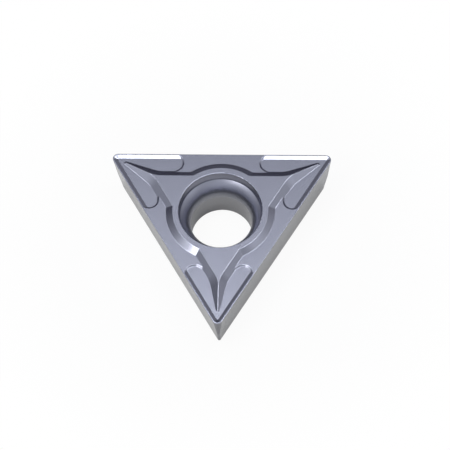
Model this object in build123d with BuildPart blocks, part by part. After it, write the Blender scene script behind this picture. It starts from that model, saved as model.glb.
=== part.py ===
from build123d import *
import math
import os

os.makedirs("parts", exist_ok=True)

# The insert lies on its seat face at Z = 0, with the screw hole's axis on Z and one nose
# towards -Y. All three edges and noses are alike, so each detail is drawn once and turned.

# Body: an equilateral triangle drawn round its inscribed circle
inscribed_circle = 9.525
thickness = 3.97
clearance_angle = 7.0
nose_radius = 0.4
nose_radius_at_seat = 0.12

# Chip pockets: one runs round each nose, behind a narrow land, and ends in two round lobes,
# each centred a little beyond the kink where the plateau's straight wall meets its round one.
# A lobe's circle would reach past the pocket's outer line, which cuts it off.
land_width = 0.09
pocket_depth = 0.085
pocket_slope_run = 0.256
lobe_radius = 0.70
lobe_turn = 150
lobe_past_land = 0.0575
lobe_past_round_wall = 1.184

# Plateau: raised above the lands, with three straight walls and three walls round the hole
plateau_height = 0.30
straight_wall_to_axis = 3.385
wall_angle = 35.7
round_wall_radius = 3.97
round_wall_angle = 32.5

# Ribs: each runs from the plateau towards a nose, and round its crest's end three slopes fall
# to the pocket floor, each to a foot that is equally far from that end
crest_end_to_nose = 1.075
crest_end_to_foot = 0.13
rib_half_angle = 11.85
bend_radius = 2.0

# Roundings: a pressed and sintered body has no sharp step, and its cutting edges are honed
kink_radius = 0.15
pocket_edge_radius = 0.05
plateau_edge_radius = 0.06
cutting_edge_radius = 0.03

# Screw hole: a rounded mouth, a short steep wall, a convex seat for the screw head, a bore
bore_diameter = 4.45
mouth_diameter = 6.10
mouth_rounding = 0.05
mouth_depth = 0.72
seat_diameter = 5.88
seat_radius = 1.43
bore_chamfer = 0.15

# Heights, slopes and places that follow from the sizes above, and the least step that counts
inradius = inscribed_circle / 2
draft = math.tan(math.radians(clearance_angle))
floor_height = thickness - pocket_depth
top_height = thickness + plateau_height
wall_slope = math.tan(math.radians(wall_angle))
wall_rise = pocket_depth + plateau_height
land_wall_to_axis = straight_wall_to_axis - pocket_depth / wall_slope
kink_to_mid_edge = math.sqrt(round_wall_radius**2 - land_wall_to_axis**2)
pocket_outer_line = inradius - land_width
lobe_centre_to_mid_edge = kink_to_mid_edge + lobe_past_round_wall
lobe_centre_to_axis = pocket_outer_line + lobe_past_land - lobe_radius
crest_end_to_axis = 2 * inradius - nose_radius - crest_end_to_nose
crest_end_height = floor_height + crest_end_to_foot * wall_slope
tiny = 1e-4

# Directions of the edge on the +X side of the nose on -Y: out of it, and along it to the nose
half_corner = math.radians(30)
outward = Vector(math.cos(half_corner), -math.sin(half_corner))
to_nose = Vector(-math.sin(half_corner), -math.cos(half_corner))


def edges_between(part, low, high):
    """The edges of a part that run from one height to another, or lie flat where both are alike."""
    def spans(edge):
        heights = [vertex.Z for vertex in edge.vertices()]
        return abs(min(heights) - low) < tiny and abs(max(heights) - high) < tiny
    return part.edges().filter_by(spans)


def land_of(part):
    """The flat strip that runs round the top behind the cutting edges."""
    return part.faces().filter_by(Axis.Z).filter_by(lambda face: abs(face.center().Z - thickness) < tiny)[0]


def triangle(side_to_axis, corner_radius):
    """A triangle with a rounded corner on -Y, its sides at a given distance from the axis."""
    corner = Vector(0, -2 * side_to_axis)
    with BuildSketch(mode=Mode.PRIVATE) as outline:
        with BuildLine():
            Polyline(*[corner.rotate(Axis.Z, turn) for turn in (0, 120, 240)], close=True)
        make_face()
        fillet(outline.vertices(), radius=corner_radius)
    return outline.sketch


def recess_outline(radius):
    """A steep-sided recess round the nose on -Y, whose two ends turn in an arc and run into the plateau."""
    lobe_centre = outward * lobe_centre_to_axis + to_nose * lobe_centre_to_mid_edge
    lobe_start = lobe_centre + outward * radius
    with BuildSketch(mode=Mode.PRIVATE) as outline:
        with BuildLine():
            Line((0, -2 * (lobe_centre_to_axis + radius)), lobe_start)
            lobe = JernArc(lobe_start, -to_nose, radius, lobe_turn)
            wall_run = PolarLine(lobe @ 1, radius, direction=lobe % 1)
            Line(wall_run @ 1, (0, (wall_run @ 1).Y))
            mirror(about=Plane.YZ)
        make_face()
    return outline.sketch


def outside_walls(inset):
    """The area beyond the walls that face +Y, from nose to nose, its walls moved in by inset."""
    # The rib's side leans towards its centre line, which it would meet beyond the rib's end
    rib_angle = math.radians(rib_half_angle)
    lean = math.tan(rib_angle)
    side_at_axis = (crest_end_to_foot - inset) / math.cos(rib_angle) + crest_end_to_axis * lean
    to_bend = (straight_wall_to_axis - inset - side_at_axis * math.cos(half_corner)) / (
        math.sin(half_corner) - lean * math.cos(half_corner))
    reach = 2 * inradius
    bend = Vector(to_bend, side_at_axis - to_bend * lean).rotate(Axis.Z, 30)
    far = Vector(reach, side_at_axis - reach * lean).rotate(Axis.Z, 30)
    with BuildSketch(mode=Mode.PRIVATE) as outline:
        with BuildLine():
            FilletPolyline(far, bend, (-bend.X, bend.Y), (-far.X, far.Y), radius=bend_radius + inset)
            Polyline((-far.X, far.Y), (-far.X, reach), (far.X, reach), far)
        make_face()
    return outline.sketch


# Pocket: a recess whose ends are as steep as the plateau's walls, and whose outer side is cut back
# to a shallow slope that falls from the land to the flat floor
with BuildPart(mode=Mode.PRIVATE) as pocket:
    with BuildSketch(Plane.XY.offset(floor_height)):
        add(recess_outline(lobe_radius - pocket_depth / wall_slope))
    with BuildSketch(Plane.XY.offset(thickness)):
        add(recess_outline(lobe_radius))
    loft(ruled=True)
    with BuildPart(mode=Mode.INTERSECT):
        with BuildSketch(Plane.XY.offset(floor_height)):
            add(triangle(pocket_outer_line - pocket_slope_run, nose_radius - land_width - pocket_slope_run))
        with BuildSketch(Plane.XY.offset(thickness)):
            add(triangle(pocket_outer_line, nose_radius - land_width))
        loft(ruled=True)

# Plateau and ribs: what is left of a slab, whose sides slope at the ribs' ends, when walls that
# slope alike are cut between them. The slab's ends are wide enough to leave the ribs' sides to the walls
with BuildPart(mode=Mode.PRIVATE) as wall_cutter:
    with BuildSketch(Plane.XY.offset(floor_height)):
        add(outside_walls(0))
    with BuildSketch(Plane.XY.offset(top_height)):
        add(outside_walls(wall_rise / wall_slope))
    loft(ruled=True)

with BuildPart(mode=Mode.PRIVATE) as plateau:
    with BuildSketch(Plane.XY.offset(floor_height)):
        with BuildLine():
            ends = [Vector(side * 4 * crest_end_to_foot, -crest_end_to_axis - crest_end_to_foot)
                    for side in (-1, 1)]
            Polyline(*[end.rotate(Axis.Z, turn) for turn in (0, 120, 240) for end in ends], close=True)
        make_face()
    extrude(amount=wall_rise, taper=90 - wall_angle)
    with PolarLocations(0, 3):
        add(wall_cutter.part, mode=Mode.SUBTRACT)
    round_wall_slope = math.tan(math.radians(round_wall_angle))
    with Locations((0, 0, floor_height)):
        Cone(round_wall_radius + pocket_depth / round_wall_slope,
             round_wall_radius - plateau_height / round_wall_slope, wall_rise,
             align=(Align.CENTER, Align.CENTER, Align.MIN))

# Hole: the profile of what is cut away round the axis
with BuildPart(mode=Mode.PRIVATE) as screw_hole:
    with BuildSketch(Plane.XZ) as section:
        mouth = mouth_diameter / 2
        seat = seat_diameter / 2
        bore = bore_diameter / 2
        seat_height = top_height - mouth_depth
        seat_turn = math.acos(1 - (seat - bore) / seat_radius)
        bore_top = seat_height - seat_radius * math.sin(seat_turn)
        with BuildLine():
            JernArc((bore, bore_top), (0, 1), seat_radius, -math.degrees(seat_turn))
            Polyline((bore, bore_top), (bore, bore_chamfer), (bore + bore_chamfer, 0),
                     (bore + bore_chamfer, -bore), (0, -bore), (0, top_height + mouth),
                     (2 * mouth, top_height + mouth), (2 * mouth, top_height),
                     (mouth, top_height), (seat, seat_height))
        make_face()
        mouth_rim = section.vertices().filter_by(lambda vertex: abs(vertex.X - mouth) < tiny)
        fillet(mouth_rim, radius=mouth_rounding)
    revolve(axis=Axis.Z)

with BuildPart() as insert:
    # Body: the nose is a cone until it meets its least radius, and then leans in with the flanks
    cone_depth = (nose_radius - nose_radius_at_seat) / draft
    for depth in (thickness, cone_depth, 0):
        with BuildSketch(Plane.XY.offset(thickness - depth)):
            add(triangle(inradius - depth * draft, max(nose_radius - depth * draft, nose_radius_at_seat)))
    loft(ruled=True)
    with PolarLocations(0, 3):
        add(pocket.part, mode=Mode.SUBTRACT)
    add(plateau.part)

    # Roundings: the plateau's kinks, then its rim with the ribs' crests and corners
    fillet(edges_between(insert, thickness, top_height), radius=kink_radius)
    plateau_rim = edges_between(insert, top_height, top_height)
    crests = edges_between(insert, crest_end_height, top_height)
    rib_corners = edges_between(insert, floor_height, crest_end_height)
    fillet(plateau_rim + crests + rib_corners, radius=plateau_edge_radius)

    # Roundings: the pockets with the plateau's foot, then the cutting edges
    pocket_rims = land_of(insert).inner_wires()[0].edges()
    pocket_corners = edges_between(insert, floor_height, thickness)
    floor_edges = edges_between(insert, floor_height, floor_height)
    fillet(pocket_rims + pocket_corners + floor_edges, radius=pocket_edge_radius)
    fillet(land_of(insert).outer_wire().edges(), radius=cutting_edge_radius)

    add(screw_hole.part, mode=Mode.SUBTRACT)

insert.part.label = "insert"
export_step(insert.part, "parts/insert.step")
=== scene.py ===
import bmesh
import bpy
from math import cos, hypot, pi, radians, sin, sqrt, tan
from mathutils import Matrix, Vector

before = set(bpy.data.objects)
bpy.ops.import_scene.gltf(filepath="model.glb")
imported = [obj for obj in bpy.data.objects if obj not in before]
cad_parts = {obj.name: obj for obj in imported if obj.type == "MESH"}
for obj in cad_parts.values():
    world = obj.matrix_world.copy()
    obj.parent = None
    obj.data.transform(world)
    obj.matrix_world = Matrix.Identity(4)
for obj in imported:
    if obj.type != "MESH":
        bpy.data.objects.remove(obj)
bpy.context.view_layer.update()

# Insert: one piece of cemented carbide, pressed and sintered, its flanks and seat face ground to size.
# A few thousandths of a millimetre of nitride coats it: blue-grey on the pressed top and a plain light grey
# where it was ground. The noses are painted a darker grey, a painted shade for the dark reflection they
# show, and the screw hole is painted a darker grey further down, a painted shade in the hole.
millimetre = 0.001
thickness = 3.97 * millimetre
inscribed_radius = 4.7625 * millimetre
clearance_slope = tan(radians(7))
nose_radius = 0.40 * millimetre
least_nose_radius = 0.12 * millimetre
hole_circle_radius = 3.50 * millimetre

# Heights above the seat face where a finish sets in, is full and ends, and where the painted shade down
# the bore sets in and is full. The seat for the screw's head has a coarser skin than the rest.
ground_sets_in = thickness - 0.10 * millimetre
ground_is_full = thickness - 0.20 * millimetre
bore_shade_sets_in = 3.10 * millimetre
bore_shade_is_full = 1.90 * millimetre
seat_skin_sets_in = 3.60 * millimetre
seat_skin_is_full = 3.51 * millimetre
seat_skin_still_full = 2.475 * millimetre
seat_skin_ends = 2.10 * millimetre
underside_ends = 0.01 * millimetre

blue_grey = (0.326, 0.335, 0.403, 1)
# painted shade on the noses, for the dark reflection they show
painted_nose_shade = (0.175, 0.176, 0.192, 1)
ground_grey = (0.460, 0.460, 0.458, 1)
# painted shade down the screw hole, darker and greyer than the coating
bore_painted_shade = (0.290, 0.292, 0.302, 1)

clouds_per_metre = 900
cloud_detail = 4
specks_per_metre = 16000
speck_detail = 3
speck_share = 0.5
speck_height = 0.002 * millimetre
speck_strength = 0.02
darkest_grain = 0.96
lightest_grain = 1.04
smoothest_coating = 0.21
roughest_coating = 0.25
seat_skin_roughness = 0.36


def feed(tree, socket, source):
    """Gives a socket what it reads, which is another node's output or a plain value."""
    if isinstance(source, bpy.types.NodeSocket):
        tree.links.new(source, socket)
    else:
        socket.default_value = source


def reckon(tree, operation, *sources):
    """A sum or a comparison of numbers."""
    node = tree.nodes.new("ShaderNodeMath")
    node.operation = operation
    for socket, source in zip(node.inputs, sources):
        feed(tree, socket, source)
    return node.outputs["Value"]


def fade(tree, number, start, end, low=0, high=1):
    """Goes from low to high as a number goes from start to end, and stays there beyond them."""
    node = tree.nodes.new("ShaderNodeMapRange")
    feed(tree, node.inputs["Value"], number)
    feed(tree, node.inputs["From Min"], start)
    feed(tree, node.inputs["From Max"], end)
    feed(tree, node.inputs["To Min"], low)
    feed(tree, node.inputs["To Max"], high)
    return node.outputs["Result"]


def blend(tree, kind, share, first, second):
    """A colour (kind RGBA) or a number (kind FLOAT), this share of the way from the first to the second."""
    node = tree.nodes.new("ShaderNodeMix")
    node.data_type = kind
    feed(tree, node.inputs["Factor"], share)
    feed(tree, node.inputs["A"], first)
    feed(tree, node.inputs["B"], second)
    return node.outputs["Result"]


def distance_from_axis(tree, place):
    """How far a place lies from the screw hole's axis."""
    across = tree.nodes.new("ShaderNodeVectorMath")
    across.operation = "MULTIPLY"
    across.inputs[1].default_value = (1, 1, 0)
    feed(tree, across.inputs[0], place)
    distance = tree.nodes.new("ShaderNodeVectorMath")
    distance.operation = "LENGTH"
    feed(tree, distance.inputs[0], across.outputs["Vector"])
    return distance.outputs["Value"]


def sintered_grain(tree, place, blots_per_metre, detail):
    """Noise from 0 to 1 that stands for clouds or specks in the sintered metal."""
    noise = tree.nodes.new("ShaderNodeTexNoise")
    noise.inputs["Scale"].default_value = blots_per_metre
    noise.inputs["Detail"].default_value = detail
    feed(tree, noise.inputs["Vector"], place)
    return noise.outputs["Fac"]


def nose_start(height, radius):
    """How far from the axis a flank ends and a nose starts, at a height where the nose has this radius."""
    flank_to_axis = inscribed_radius - (thickness - height) * clearance_slope
    along_flank = sqrt(3) * (flank_to_axis - radius)
    return hypot(flank_to_axis, along_flank)


coated_carbide = bpy.data.materials.new("coated_carbide")
coated_carbide.use_nodes = True
metal = coated_carbide.node_tree
shader = metal.nodes["Principled BSDF"]
shader.inputs["Metallic"].default_value = 1
place = metal.nodes.new("ShaderNodeTexCoord").outputs["Object"]
axes = metal.nodes.new("ShaderNodeSeparateXYZ")
feed(metal, axes.inputs["Vector"], place)
level = axes.outputs["Z"]
off_axis = distance_from_axis(metal, place)

# The noses are painted a darker grey than the flanks, a painted shade for the dark reflection they show.
# Each nose is a cone that gets sharper downwards, and from the height where it has its least radius it
# only leans in with the flanks. So the line where it starts is two straight ones, of which the one
# nearer to the axis counts.
cone_foot = thickness - (nose_radius - least_nose_radius) / clearance_slope
start_at_edge = nose_start(thickness, nose_radius)
start_at_cone_foot = nose_start(cone_foot, least_nose_radius)
start_at_seat_face = nose_start(0, least_nose_radius)
cone_lean = (start_at_edge - start_at_cone_foot) / (thickness - cone_foot)
foot_lean = (start_at_cone_foot - start_at_seat_face) / cone_foot
cone_start = reckon(metal, "MULTIPLY_ADD", level, cone_lean, start_at_edge - thickness * cone_lean)
foot_start = reckon(metal, "MULTIPLY_ADD", level, foot_lean, start_at_seat_face)
before_painted_nose_shade = reckon(metal, "LESS_THAN", off_axis, reckon(metal, "MINIMUM", cone_start, foot_start))

# In a circle round its axis the screw hole has tones of its own: blue-grey at the top and, further down,
# a darker grey that is painted shade. The underside is ground all over.
clear_of_hole = reckon(metal, "GREATER_THAN", off_axis, hole_circle_radius)
beneath = reckon(metal, "LESS_THAN", level, underside_ends)
outside = reckon(metal, "MAXIMUM", clear_of_hole, beneath)
down_flank = fade(metal, level, ground_sets_in, ground_is_full)
down_bore_shade = fade(metal, level, bore_shade_sets_in, bore_shade_is_full)
# The noses get their painted shade, and the flanks their ground grey
ground_tone_and_nose_shade = blend(metal, "RGBA", before_painted_nose_shade, painted_nose_shade, ground_grey)
outer_tone = blend(metal, "RGBA", down_flank, blue_grey, ground_tone_and_nose_shade)
hole_tone_and_shade = blend(metal, "RGBA", down_bore_shade, blue_grey, bore_painted_shade)
tone = blend(metal, "RGBA", outside, hole_tone_and_shade, outer_tone)

# The sintered grain under the coating: faint clouds of tone, and specks that the light catches
clouds = sintered_grain(metal, place, clouds_per_metre, cloud_detail)
specks = sintered_grain(metal, place, specks_per_metre, speck_detail)
grain = blend(metal, "FLOAT", speck_share, clouds, specks)
grained_tone = metal.nodes.new("ShaderNodeVectorMath")
grained_tone.operation = "SCALE"
feed(metal, grained_tone.inputs["Vector"], tone)
feed(metal, grained_tone.inputs["Scale"], fade(metal, grain, 0, 1, darkest_grain, lightest_grain))
feed(metal, shader.inputs["Base Color"], grained_tone.outputs["Vector"])
bump = metal.nodes.new("ShaderNodeBump")
bump.inputs["Strength"].default_value = speck_strength
bump.inputs["Distance"].default_value = speck_height
feed(metal, bump.inputs["Height"], specks)
feed(metal, shader.inputs["Normal"], bump.outputs["Normal"])

# The outer surfaces and the bore are smooth, and the seat between the mouth and the bore is less so
polish = fade(metal, grain, 0, 1, smoothest_coating, roughest_coating)
below_mouth = fade(metal, level, seat_skin_sets_in, seat_skin_is_full)
above_bore = fade(metal, level, seat_skin_ends, seat_skin_still_full)
on_seat = reckon(metal, "MINIMUM", below_mouth, above_bore)
hole_skin = blend(metal, "FLOAT", on_seat, polish, seat_skin_roughness)
feed(metal, shader.inputs["Roughness"], blend(metal, "FLOAT", outside, hole_skin, polish))
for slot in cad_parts["insert"].material_slots:
    slot.material = coated_carbide

# Table: a smooth studio table top that the insert lies on, painted a matt pale grey. The lens sees it
# nearly white round the insert, with a faint soft shadow, and as white as the backdrop at its rim.
table_radius = 20 * millimetre
rim_fade_radius = 11 * millimetre
rim_corners = 64
table_gap = 0.002 * millimetre
white_to_camera = 0.93
white_in_metal = 0.10
pale_grey = (0.62, 0.615, 0.61, 1)
white = (1, 1, 1, 1)


def seen_by_lens(tree, ray):
    """1 where the camera looks straight at a surface or through glass, and 0 in mirror images."""
    return reckon(tree, "MAXIMUM", ray.outputs["Is Camera Ray"], ray.outputs["Is Transmission Ray"])


table_mesh = bpy.data.meshes.new("table_top")
disc = bmesh.new()
bmesh.ops.create_circle(disc, cap_ends=True, segments=rim_corners, radius=table_radius)
bmesh.ops.translate(disc, verts=disc.verts, vec=(0, 0, -table_gap))
disc.to_mesh(table_mesh)
disc.free()
table_top = bpy.data.objects.new("table_top", table_mesh)
bpy.context.scene.collection.objects.link(table_top)

table_white = bpy.data.materials.new("table_white")
table_white.use_nodes = True
paint = table_white.node_tree
paint.nodes.clear()
matt = paint.nodes.new("ShaderNodeBsdfDiffuse")
matt.inputs["Color"].default_value = pale_grey
glow = paint.nodes.new("ShaderNodeEmission")
glow.inputs["Color"].default_value = white
ray = paint.nodes.new("ShaderNodeLightPath")
place = paint.nodes.new("ShaderNodeTexCoord").outputs["Object"]
off_axis = distance_from_axis(paint, place)
whiteness = fade(paint, off_axis, rim_fade_radius, table_radius, white_to_camera, 1)
to_camera = reckon(paint, "MULTIPLY", seen_by_lens(paint, ray), whiteness)
glow_share = reckon(paint, "MULTIPLY_ADD", ray.outputs["Is Glossy Ray"], white_in_metal, to_camera)
top_side = paint.nodes.new("ShaderNodeMixShader")
feed(paint, top_side.inputs["Fac"], glow_share)
feed(paint, top_side.inputs[1], matt.outputs["BSDF"])
feed(paint, top_side.inputs[2], glow.outputs["Emission"])

# From below the table is clear, so that the insert's underside can be looked at
side = paint.nodes.new("ShaderNodeNewGeometry")
clear = paint.nodes.new("ShaderNodeBsdfTransparent")
both_sides = paint.nodes.new("ShaderNodeMixShader")
feed(paint, both_sides.inputs["Fac"], side.outputs["Backfacing"])
feed(paint, both_sides.inputs[1], top_side.outputs["Shader"])
feed(paint, both_sides.inputs[2], clear.outputs["BSDF"])
table_out = paint.nodes.new("ShaderNodeOutputMaterial")
feed(paint, table_out.inputs["Surface"], both_sides.outputs["Shader"])
table_mesh.materials.append(table_white)

# Studio: the room whose walls and paper screens the metal mirrors. It is bright in front, dim at the
# back and mid-grey below the table, and the lens sees it as plain white.
front_white = (0.86, 0.89, 0.98, 1)
screen_white = (0.72, 0.74, 0.78, 1)
side_grey = (0.50, 0.51, 0.54, 1)
back_grey = (0.13, 0.13, 0.16, 1)
far_back_grey = (0.16, 0.16, 0.19, 1)
floor_grey = (0.45, 0.45, 0.46, 1)

# How far down a direction points where the walls end and where the floor is reached, from 0 for level
# to -1 for straight down
walls_end = -0.35
floor_reached = -0.55

studio = bpy.data.worlds.new("studio")
studio.use_nodes = True
bpy.context.scene.world = studio
room = studio.node_tree
room.nodes.clear()
direction = room.nodes.new("ShaderNodeTexCoord").outputs["Generated"]
axes = room.nodes.new("ShaderNodeSeparateXYZ")
feed(room, axes.inputs["Vector"], direction)
front_to_back = room.nodes.new("ShaderNodeValToRGB")
feed(room, front_to_back.inputs["Fac"], fade(room, axes.outputs["Y"], -1, 1))
walls = front_to_back.color_ramp.elements
walls[0].color = front_white
walls[1].color = far_back_grey
for share_of_way, colour in ((0.22, side_grey), (0.36, screen_white), (0.50, side_grey),
                             (0.72, back_grey), (0.90, back_grey)):
    walls.new(share_of_way).color = colour
below_table = fade(room, axes.outputs["Z"], walls_end, floor_reached)
around = blend(room, "RGBA", below_table, front_to_back.outputs["Color"], floor_grey)
ray = room.nodes.new("ShaderNodeLightPath")
light = room.nodes.new("ShaderNodeBackground")
feed(room, light.inputs["Color"], blend(room, "RGBA", seen_by_lens(room, ray), around, white))
studio_out = room.nodes.new("ShaderNodeOutputWorld")
feed(room, studio_out.inputs["Surface"], light.outputs["Background"])

# Lamps: soft boxes and strips with white covers, each hung so that it faces the insert. The strong ones
# are high up, overhead, at the left, at the right and at the back, and the weak fills are lower. Their
# angles are in degrees, and their distances, widths and heights in metres.
lamps_aim = Vector((0, -2, 4)) * millimetre
neutral_white = (1.0, 1.0, 1.0)
warm_white = (1.0, 0.99, 0.97)
cool_white = (0.98, 0.99, 1.0)
overhead_blue = (0.97, 0.985, 1.0)
back_blue = (0.95, 0.975, 1.0)


def towards(azimuth, elevation):
    """The direction at these degrees, azimuth 0 being the insert's -Y side and 90 its +X side."""
    turn = radians(azimuth)
    rise = radians(elevation)
    return Vector((sin(turn) * cos(rise), -cos(turn) * cos(rise), sin(rise)))


def softbox(name, azimuth, elevation, distance, width, height, brightness, colour):
    """A flat rectangular lamp that the camera doesn't see, and that a perfect mirror shows this bright."""
    lamp = bpy.data.lights.new(name, "AREA")
    lamp.shape = "RECTANGLE"
    lamp.size = width
    lamp.size_y = height
    lamp.color = colour
    lamp.energy = brightness * width * height * pi
    holder = bpy.data.objects.new(name, lamp)
    bpy.context.scene.collection.objects.link(holder)
    away = towards(azimuth, elevation)
    holder.location = lamps_aim + away * distance
    holder.rotation_euler = away.to_track_quat("Z", "Y").to_euler()
    holder.visible_camera = False


softbox("overhead_strip", -16, 82, 0.25, 0.040, 0.022, 9.0, overhead_blue)
softbox("top_softbox", 0, 89, 0.25, 0.28, 0.14, 0.8, overhead_blue)
softbox("high_strip", 172, 76, 0.11, 0.08, 0.014, 7.5, back_blue)
softbox("back_softbox", 180, 68, 0.11, 0.12, 0.05, 0.57, back_blue)
softbox("right_strip", 119, 63, 0.24, 0.03, 0.09, 5.0, neutral_white)
softbox("key_softbox", -44, 52, 0.30, 0.11, 0.08, 5.5, warm_white)
softbox("left_softbox", -75, 50, 0.30, 0.10, 0.11, 1.0, cool_white)
softbox("left_lamp", -70, 68, 0.30, 0.10, 0.09, 5.5, neutral_white)
softbox("low_left_fill", -108, 21, 0.40, 0.12, 0.08, 0.07, neutral_white)
softbox("right_fill", 86, 44, 0.40, 0.26, 0.16, 0.35, neutral_white)
softbox("low_right_fill", 114, 25, 0.40, 0.16, 0.10, 0.40, neutral_white)
softbox("back_left_fill", -150, 36, 0.40, 0.12, 0.10, 0.19, neutral_white)
softbox("back_right_fill", 150, 36, 0.40, 0.12, 0.10, 0.27, neutral_white)

# Camera: looks down on the insert from the front through a long lens, rolled a few degrees to one side.
# Its place is given in degrees and metres from the hole's axis at the height of the cutting edges.
photo_side_in_pixels = 450
focal_length_in_pixels = 11010
sensor_width = 36
nearest_seen = 0.01
farthest_seen = 10
camera_distance = 0.8
camera_azimuth = 4.73
camera_elevation = 61.85
camera_roll = -3.704
middle_of_edges = Vector((0, 0, thickness))
camera_aim = Vector((0.358 * millimetre, -1.060 * millimetre, thickness))

photo_camera = bpy.data.cameras.new("photo_camera")
photo_camera.sensor_width = sensor_width
photo_camera.lens = focal_length_in_pixels / photo_side_in_pixels * sensor_width
photo_camera.clip_start = nearest_seen
photo_camera.clip_end = farthest_seen
tripod = bpy.data.objects.new("photo_camera", photo_camera)
bpy.context.scene.collection.objects.link(tripod)
tripod.location = middle_of_edges + towards(camera_azimuth, camera_elevation) * camera_distance
look_back = (tripod.location - camera_aim).normalized()
level_right = Vector((0, 0, 1)).cross(look_back).normalized()
level_up = look_back.cross(level_right)
roll = radians(camera_roll)
right = cos(roll) * level_right + sin(roll) * level_up
up = -sin(roll) * level_right + cos(roll) * level_up
tripod.rotation_mode = "QUATERNION"
tripod.rotation_quaternion = Matrix((right, up, look_back)).transposed().to_quaternion()
bpy.context.scene.camera = tripod
bpy.context.scene.view_settings.view_transform = "Standard"
